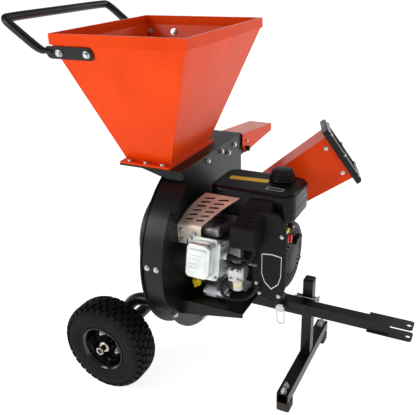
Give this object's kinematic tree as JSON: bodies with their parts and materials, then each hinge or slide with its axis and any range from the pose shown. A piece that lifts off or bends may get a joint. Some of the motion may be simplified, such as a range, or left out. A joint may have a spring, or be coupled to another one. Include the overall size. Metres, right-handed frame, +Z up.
{
  "type": "tow-behind wood chipper shredder",
  "caption": "Engine-driven wood chipper with a top shredder hopper, side chipper chute, discharge deflector, two wheels, drawbar and rear stand.",
  "frame": {"origin": "centre of the overall box's base, on the ground under the machine", "axes": "+X from the push handle towards the drawbar, +Y towards the discharge deflector, +Z up"},
  "size_m": [1.033, 0.788, 1.014],
  "materials": {
    "orange_paint": "gloss",
    "black_paint": "satin",
    "rim_paint": "gloss",
    "tyre": "matt",
    "rubber": "matt",
    "zinc": "satin",
    "rotor_steel": "satin",
    "aluminium": "satin",
    "guard_steel": "satin",
    "black_plastic": "satin",
    "tank_paint": "gloss",
    "yellow_plastic": "gloss",
    "red_plastic": "gloss",
    "ceramic": "gloss"
  },
  "bodies": {
    "root": {"air_filter_cover": "black_plastic", "axle_frame": "black_paint", "axle_nuts": "zinc", "carburetor": "aluminium", "chipper_chute": "orange_paint", "chute_base": "black_paint", "chute_flap": "rubber", "chute_frame": "black_paint", "cylinder_head": "aluminium", "discharge_duct": "black_paint", "engine_block": "aluminium", "engine_shelf": "black_paint", "fan_shroud": "black_plastic", "frame_bolts": "zinc", "fuel_hose": "rubber", "fuel_tank": "tank_paint", "hopper": "orange_paint", "hopper_handle": "black_paint", "housing_back_plate": "black_paint", "housing_band_lower": "black_paint", "housing_band_upper": "black_paint", "housing_plate": "black_paint", "hub_cover": "black_paint", "muffler": "guard_steel", "muffler_guard": "guard_steel", "oil_level_unit": "guard_steel", "receiver_tube": "black_paint", "recoil_cover": "black_plastic", "spark_lead": "rubber", "spark_plug": "ceramic", "throat": "black_paint", "valve_cover": "aluminium"},
    "rotor": {"crankshaft": "rotor_steel", "rotor_disc": "rotor_steel", "chipper_knives": "rotor_steel", "hammer_pins": "rotor_steel", "flywheel": "rotor_steel"},
    "hammers_a": {"hammers_a": "rotor_steel"},
    "hammers_b": {"hammers_b": "rotor_steel"},
    "wheel_near": {"rim_near": "rim_paint", "tyre_near": "tyre"},
    "wheel_far": {"rim_far": "rim_paint", "tyre_far": "tyre"},
    "deflector": {"deflector": "orange_paint"},
    "deflector_knob": {"deflector_knob": "black_plastic"},
    "stand": {"stand_leg": "black_paint", "leg_cap": "black_plastic", "stand_feet": "rubber", "foot_bolts": "zinc"},
    "leg_pin": {"leg_pin": "zinc"},
    "leg_pin_wire": {"leg_pin_wire": "zinc"},
    "drawbar": {"tow_tube": "black_paint"},
    "tow_pin": {"tow_pin": "zinc"},
    "tow_pin_wire": {"tow_pin_wire": "zinc"},
    "fuel_cap": {"fuel_cap": "black_plastic"},
    "dipstick": {"dipstick": "yellow_plastic"},
    "choke_lever": {"choke_lever": "yellow_plastic"},
    "throttle_lever": {"throttle_lever": "zinc"},
    "engine_switch": {"engine_switch": "red_plastic"},
    "recoil_handle": {"recoil_handle": "black_plastic"}
  },
  "joints": [
    {"name": "rotor_spin", "type": "hinge", "parent": "root", "child": "rotor", "pos_m": [-0.0669, -0.097, 0.383], "axis": [1, 0, 0], "continuous": true},
    {"name": "hammers_a_swing", "type": "hinge", "parent": "rotor", "child": "hammers_a", "pos_m": [-0.1069, 0.043, 0.383], "axis": [1, 0, 0], "range_deg": [-50, 50]},
    {"name": "hammers_b_swing", "type": "hinge", "parent": "rotor", "child": "hammers_b", "pos_m": [-0.1069, -0.237, 0.383], "axis": [1, 0, 0], "range_deg": [-50, 50]},
    {"name": "wheel_near_spin", "type": "hinge", "parent": "root", "child": "wheel_near", "pos_m": [-0.2589, -0.343, 0.132], "axis": [0, 1, 0], "continuous": true},
    {"name": "wheel_far_spin", "type": "hinge", "parent": "root", "child": "wheel_far", "pos_m": [-0.2589, 0.149, 0.132], "axis": [0, 1, 0], "continuous": true},
    {"name": "deflector_tilt", "type": "hinge", "parent": "root", "child": "deflector", "pos_m": [-0.0994, 0.176, 0.598], "axis": [1, 0, 0], "range_deg": [-25, 0]},
    {"name": "deflector_knob_turn", "type": "hinge", "parent": "deflector", "child": "deflector_knob", "pos_m": [-0.0619, 0.176, 0.574], "axis": [1, 0, 0], "continuous": true},
    {"name": "stand_height", "type": "slide", "parent": "root", "child": "stand", "axis": [0, 0, 1], "range_m": [0, 0.1]},
    {"name": "leg_pin_pull", "type": "slide", "parent": "stand", "child": "leg_pin", "axis": [1, 0, 0], "range_m": [0, 0.07]},
    {"name": "leg_pin_wire_swing", "type": "hinge", "parent": "leg_pin", "child": "leg_pin_wire", "pos_m": [0.2581, -0.062, 0.2433], "axis": [1, 0, 0], "range_deg": [-20, 0]},
    {"name": "drawbar_slide", "type": "slide", "parent": "root", "child": "drawbar", "axis": [1, 0, 0], "range_m": [0, 0.06]},
    {"name": "tow_pin_pull", "type": "slide", "parent": "root", "child": "tow_pin", "axis": [0, -1, 0], "range_m": [0, 0.075]},
    {"name": "tow_pin_wire_swing", "type": "hinge", "parent": "tow_pin", "child": "tow_pin_wire", "pos_m": [0.1701, -0.131, 0.231], "axis": [0, 1, 0], "continuous": true},
    {"name": "fuel_cap_turn", "type": "hinge", "parent": "root", "child": "fuel_cap", "pos_m": [0.1381, -0.047, 0.592], "axis": [0, 0, 1], "continuous": true},
    {"name": "dipstick_turn", "type": "hinge", "parent": "root", "child": "dipstick", "pos_m": [-0.0409, -0.215, 0.311], "axis": [0, 1, 0], "continuous": true},
    {"name": "choke_lever_turn", "type": "hinge", "parent": "root", "child": "choke_lever", "pos_m": [0.1854, -0.139, 0.476], "axis": [1, 0, 0], "range_deg": [-30, 20]},
    {"name": "throttle_lever_turn", "type": "hinge", "parent": "root", "child": "throttle_lever", "pos_m": [0.0811, -0.228, 0.392], "axis": [0, 0, 1], "range_deg": [-35, 35]},
    {"name": "engine_switch_turn", "type": "hinge", "parent": "root", "child": "engine_switch", "pos_m": [0.1924, -0.143, 0.457], "axis": [1, 0, 0], "range_deg": [0, 60]},
    {"name": "recoil_pull", "type": "slide", "parent": "root", "child": "recoil_handle", "axis": [1, 0, 0], "range_m": [0, 0.12], "stiffness_N_per_m": 60}
  ]
}
